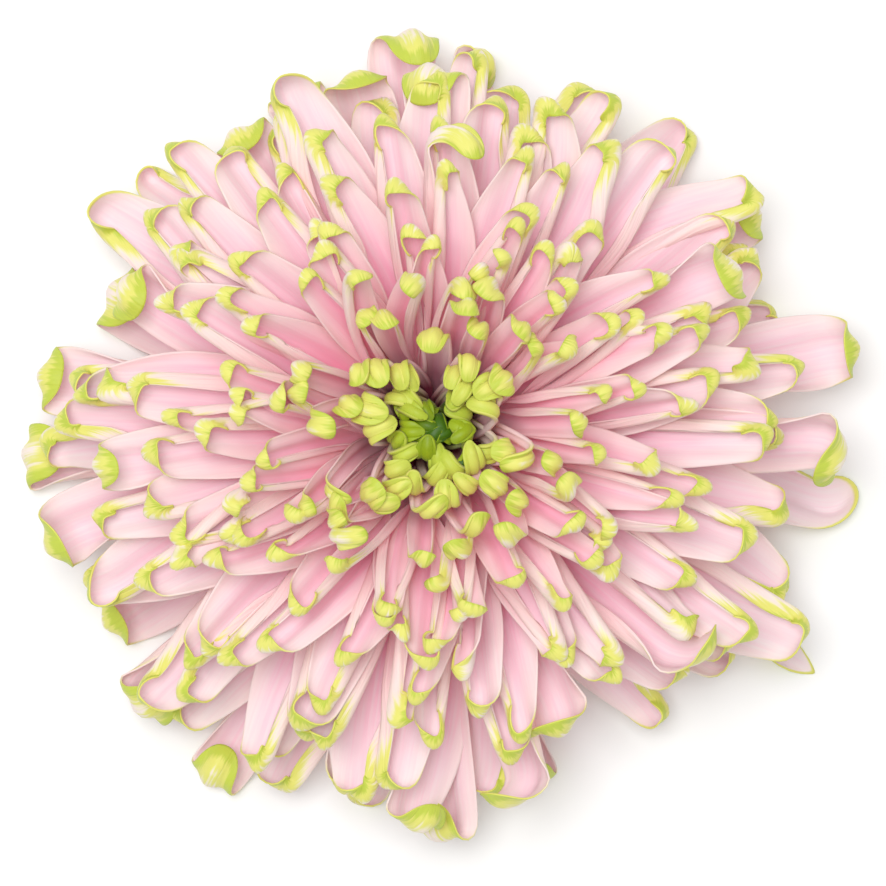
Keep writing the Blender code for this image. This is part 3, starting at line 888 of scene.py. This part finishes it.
def petal_back_material():
    """The outer side of a chrysanthemum petal: cream, waxier and ribbed, with a yellow-green tip.

    The wax gives it a little more gloss. The green runs further back from the tip at the rim and in streaks.
    """
    material, tree = start_material(
        "petal_back", Roughness=0.5, IOR=1.42, Specular_IOR_Level=0.28,
        Sheen_Weight=0.03, Sheen_Roughness=0.45,
    )
    c = colours()
    along, inset, age, veins, offset = petal_marks(tree)
    shifted = maths(tree, "MULTIPLY_ADD", offset, 0.32, along)
    pale = ramped(tree, shifted, (0.35, c.back_base), (0.85, c.back))
    margin = graded(tree, inset, 2.6, 0.2)
    tipward = maths(tree, "MULTIPLY_ADD", margin, 0.13, shifted)
    # The younger the floret, the further its green runs back from the tip
    youth = graded(tree, age, 0.35, 0.1)
    younger = maths(tree, "MULTIPLY_ADD", youth, 0.13, tipward)
    # The outermost petals' flaps are pale at their fold, and deep green at their free margin
    old = graded(tree, age, 0.45, 0.8)
    deeper = graded(tree, inset, 4.4, 0.6, -0.03, 0.18)
    near_tip = graded(tree, along, 0.6, 0.88)
    aged = maths(tree, "MULTIPLY", old, near_tip)
    ripened = maths(tree, "MULTIPLY_ADD", aged, deeper, younger)
    # The greens are read 0.2 lower, because their ramp ends at 1
    lowered = maths(tree, "ADD", ripened, -0.2)
    green = ramped(tree, lowered, (0.68, c.cream), (0.8, c.lime), (0.88, c.lime), (0.96, c.leaf))
    limed = graded(tree, ripened, 0.86, 0.98, smooth=True)
    tipped = mixed(tree, limed, pale, green)
    # The eye: dark green in the middle, then a yellow-green that pales outward, and paler low down a floret
    lifted = maths(tree, "ADD", age, 0.1)
    pointed = maths(tree, "MULTIPLY_ADD", along, -0.1, lifted)
    heart = ramped(tree, pointed, (0.035, c.eye), (0.07, c.eye_ring), (0.1, c.leaf), (0.18, c.lime))
    centred = graded(tree, age, 0.18, 0.08, smooth=True)
    final = mixed(tree, centred, tipped, heart)
    # Painted shade over the lower parts of the youngest florets, for the shadow between the centre's florets
    cover(tree, with_painted_shade(tree, along, age, final), veins, 0.6, 0.00028)
    return material


def bract_material():
    """A chrysanthemum bract: green leaf with a thin dry margin, and downy, so it has sheen and no gloss."""
    material, tree = start_material(
        "bract_leaf", Roughness=0.72, Sheen_Weight=0.25, Sheen_Roughness=0.6
    )
    c = colours()
    _, inset, _, veins, offset = petal_marks(tree)
    marginal = maths(tree, "MULTIPLY_ADD", offset, 0.6, inset)
    skin = ramped(tree, marginal, (0.25, c.bract_margin), (0.5, c.bract))
    cover(tree, skin, veins, 0.5, 0.0002)
    return material


def green_skin_material(name, tint):
    """Fresh green skin of a stem: soft and matte, with fine streaks along its length."""
    material, tree = start_material(
        name, Roughness=0.62, Subsurface_Weight=0.1, Subsurface_Scale=1.0 * MM
    )
    place = add(tree, "TexCoord", output="Object")
    # Streaks about 0.5 mm wide and 5 mm long
    stretched = add(tree, "Mapping", {"Vector": place, "Scale": (2000, 2000, 200)})
    streaks = add(tree, "TexNoise", {"Vector": stretched, "Scale": 1.0, "Detail": 3.0})
    darker = [channel * 0.62 for channel in tint[:3]] + [1.0]
    skin = ramped(tree, streaks, (0.3, darker), (0.7, tint))
    cover(tree, skin, streaks, 0.4, 0.0001)
    return material


def pith_material():
    """The stem's cut end: moist pale pith inside a greener ring, from the radius of each point."""
    material, tree = start_material(
        "cut_pith", Roughness=0.4, Subsurface_Weight=0.2, Subsurface_Scale=1.0 * MM
    )
    c = colours()
    place = add(tree, "TexCoord", output="Object")
    flat = add(tree, "Mapping", {"Vector": place, "Scale": (1, 1, 0)})
    radius = add(tree, "VectorMath", {0: flat}, operation="LENGTH")
    stem_radius = stem_size()[0]
    ring = graded(tree, radius, 0.0, stem_radius)
    flesh = ramped(tree, ring, (0.0, c.pith), (0.62, c.pith), (0.78, c.stem), (0.86, c.pith), (0.97, c.stem))
    cover(tree, flesh)
    return material


def stem_size():
    """The stem's radius and height, from its solid."""
    low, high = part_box("stem")
    return (high.x - low.x) / 2, high.z


class BLOOM_OT_ray_petals(bpy.types.Operator):
    """Build the pink petals in tiers, from the rim in"""

    bl_idname = "bloom.ray_petals"
    bl_label = "Ray petals"

    def execute(self, context):
        forms = floret_forms()
        sides = [petal_face_material(), petal_back_material()]
        last = FLORETS
        for name, first in TIERS:
            shape = fine_petals(forms, first, last)
            place_piece(shape, name, sides, "ray_petals", sizes().petal_thickness)
            last = first
        return {"FINISHED"}


class BLOOM_OT_centre_florets(bpy.types.Operator):
    """Build the small green florets of the eye"""

    bl_idname = "bloom.centre_florets"
    bl_label = "Centre florets"

    def execute(self, context):
        shape = fine_petals(floret_forms(), 0, CENTRE_FLORETS)
        sides = [bpy.data.materials["petal_face"], bpy.data.materials["petal_back"]]
        thickness = sizes().centre_thickness
        place_piece(shape, "centre_petals", sides, "centre_florets", thickness)
        return {"FINISHED"}


class BLOOM_OT_involucre(bpy.types.Operator):
    """Build the cup under the florets and its rows of bracts"""

    bl_idname = "bloom.involucre"
    bl_label = "Involucre"

    def execute(self, context):
        leaf = bract_material()
        shape = new_sheet()
        for row in range(len(BRACT_ROWS)):
            for number in range(BRACTS_PER_ROW):
                lay_petal(shape, bract_form(row, number), 0.0, *BRACT_FACES)
        place_piece(shape, "bracts", [leaf], "involucre", sizes().bract_thickness)
        cup = bmesh.new()
        profile = [cup.verts.new((radius * MM, 0, height * MM)) for radius, height in CUP_PROFILE]
        edges = [cup.edges.new(pair) for pair in zip(profile, profile[1:])]
        bmesh.ops.spin(
            cup, geom=profile + edges, cent=(0, 0, 0), axis=(0, 0, 1), angle=math.tau, steps=CUP_STEPS,
            use_merge=True,
        )
        bmesh.ops.remove_doubles(cup, verts=cup.verts, dist=MERGE_DISTANCE)
        bmesh.ops.recalc_face_normals(cup, faces=cup.faces)
        for face in cup.faces:
            face.smooth = True
        skin = green_skin_material("receptacle_skin", colours().bract)
        place_piece(cup, "receptacle", [skin], "involucre")
        return {"FINISHED"}


class BLOOM_OT_stem(bpy.types.Operator):
    """Build the stub of the stem with its ribs and its cut end"""

    bl_idname = "bloom.stem"
    bl_label = "Stem stub"

    def execute(self, context):
        radius, height = stem_size()
        shape = bmesh.new()
        bmesh.ops.create_cone(
            shape, cap_ends=True, segments=STEM_SIDES, radius1=radius, radius2=radius, depth=height,
            matrix=Matrix.Translation((0, 0, height / 2)),
        )
        sides = [edge for edge in shape.edges if abs(edge.verts[0].co.z - edge.verts[1].co.z) > height / 2]
        bmesh.ops.subdivide_edges(shape, edges=sides, cuts=STEM_RINGS, use_grid_fill=True)
        for vertex in shape.verts:
            bearing = math.atan2(vertex.co.y, vertex.co.x)
            rib = 1 - RIB_DEPTH * (1 - math.cos(STEM_RIBS * bearing)) / 2
            vertex.co.x *= rib
            vertex.co.y *= rib
        caps = [face for face in shape.faces if abs(face.normal.z) > CUT_NORMAL]
        rims = {edge for face in caps for edge in face.edges}
        bmesh.ops.bevel(
            shape, geom=list(rims), offset=STEM_BEVEL, segments=2, profile=0.5, affect="EDGES", material=-1
        )
        for face in shape.faces:
            face.smooth = abs(face.normal.z) < CUT_NORMAL
            face.material_index = 1 if face.normal.z < -CUT_NORMAL else 0
        materials = [green_skin_material("stem_skin", colours().stem), pith_material()]
        place_piece(shape, "stem_stub", materials, "stem")
        return {"FINISHED"}


class BLOOM_OT_studio(bpy.types.Operator):
    """Set the pale floor, the soft light and the camera straight above"""

    bl_idname = "bloom.studio"
    bl_label = "Studio"

    def execute(self, context):
        scene = context.scene
        settings = scene.bloom_studio
        shape = bmesh.new()
        bmesh.ops.create_grid(shape, x_segments=4, y_segments=4, size=FLOOR_REACH)
        mesh = bpy.data.meshes.new("floor")
        shape.to_mesh(mesh)
        shape.free()
        floor = bpy.data.objects.new("floor", mesh)
        scene.collection.objects.link(floor)
        paint, _ = start_material(
            "floor_paint", Base_Color=settings.floor, Roughness=0.9, Specular_IOR_Level=0.1
        )
        mesh.materials.append(paint)

        world = bpy.data.worlds.new("studio")
        scene.world = world
        world.use_nodes = True
        world.node_tree.nodes["Background"].inputs["Color"].default_value = (1, 1, 1, 1)
        world.node_tree.nodes["Background"].inputs["Strength"].default_value = settings.sky

        key = bpy.data.lights.new("key", "AREA")
        key.size = KEY_SIZE
        key.energy = settings.key_power
        lamp = bpy.data.objects.new("key", key)
        lamp.location = KEY_PLACE
        lamp.rotation_euler = (-lamp.location).to_track_quat("-Z", "Y").to_euler()
        scene.collection.objects.link(lamp)

        lens = bpy.data.cameras.new("camera")
        lens.sensor_width = 36
        lens.lens = lens.sensor_width * (settings.camera_height - PICTURE_LEVEL) / settings.view_width
        camera = bpy.data.objects.new("camera", lens)
        camera.location = (settings.view_x, settings.view_y, settings.camera_height)
        scene.collection.objects.link(camera)
        scene.camera = camera
        scene.view_settings.view_transform = "Standard"
        scene.view_settings.gamma = PICTURE_GAMMA
        # Light gets out from between the petals only after many bounces, and turns rosy on its way
        scene.cycles.max_bounces = LIGHT_BOUNCES
        scene.cycles.diffuse_bounces = LIGHT_BOUNCES
        return {"FINISHED"}


OPERATORS = (
    BLOOM_OT_ray_petals,
    BLOOM_OT_centre_florets,
    BLOOM_OT_involucre,
    BLOOM_OT_stem,
    BLOOM_OT_studio,
)


class BLOOM_PT_panel(bpy.types.Panel):
    """Lists the pieces of the bloom in the order they are built"""

    bl_label = "Pompon Chrysanthemum"
    bl_idname = "BLOOM_PT_panel"
    bl_space_type = "VIEW_3D"
    bl_region_type = "UI"
    bl_category = "Bloom"

    def draw(self, context):
        layout = self.layout
        for operator in OPERATORS:
            layout.operator(operator.bl_idname)
        for settings in (context.scene.bloom_sizes, context.scene.bloom_colours, context.scene.bloom_studio):
            box = layout.box()
            for name in settings.__annotations__:
                box.prop(settings, name)


CLASSES = (BloomSizes, BloomColours, StudioSettings) + OPERATORS + (BLOOM_PT_panel,)


def register():
    """Add the classes and their settings to Blender."""
    for cls in CLASSES:
        bpy.utils.register_class(cls)
    bpy.types.Scene.bloom_sizes = PointerProperty(type=BloomSizes)
    bpy.types.Scene.bloom_colours = PointerProperty(type=BloomColours)
    bpy.types.Scene.bloom_studio = PointerProperty(type=StudioSettings)


def unregister():
    """Take the classes and their settings out of Blender again."""
    del bpy.types.Scene.bloom_studio
    del bpy.types.Scene.bloom_colours
    del bpy.types.Scene.bloom_sizes
    for cls in reversed(CLASSES):
        bpy.utils.unregister_class(cls)


def main():
    """Build every piece in order."""
    register()
    bpy.ops.bloom.ray_petals()
    bpy.ops.bloom.centre_florets()
    bpy.ops.bloom.involucre()
    bpy.ops.bloom.stem()
    bpy.ops.bloom.studio()


if __name__ == "__main__":
    main()
